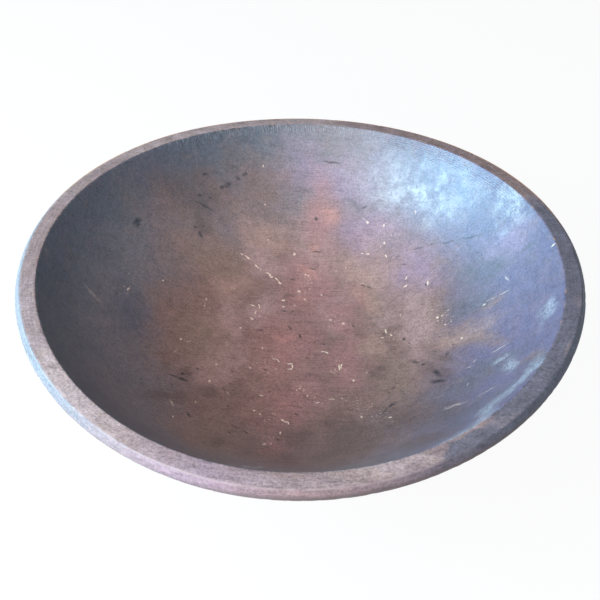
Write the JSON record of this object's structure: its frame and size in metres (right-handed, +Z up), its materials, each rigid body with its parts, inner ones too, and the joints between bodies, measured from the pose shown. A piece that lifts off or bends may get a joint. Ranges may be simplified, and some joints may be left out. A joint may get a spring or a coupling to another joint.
{
  "type": "turned wooden bowl",
  "caption": "Wide shallow round bowl turned from one piece of wood, with a flat rim bevelled outside, warped by drying, standing on a small flat foot.",
  "frame": {"origin": "middle of the foot, on the surface that the bowl stands on", "axes": "+Z up out of the bowl's mouth, +X along the grain of the wood"},
  "size_m": [0.3802, 0.3726, 0.1131],
  "materials": {
    "stained_wood": "dark stained and worn, satin inside, matt on the rim"
  },
  "bodies": {
    "root": {"bowl": "stained_wood"}
  },
  "joints": []
}
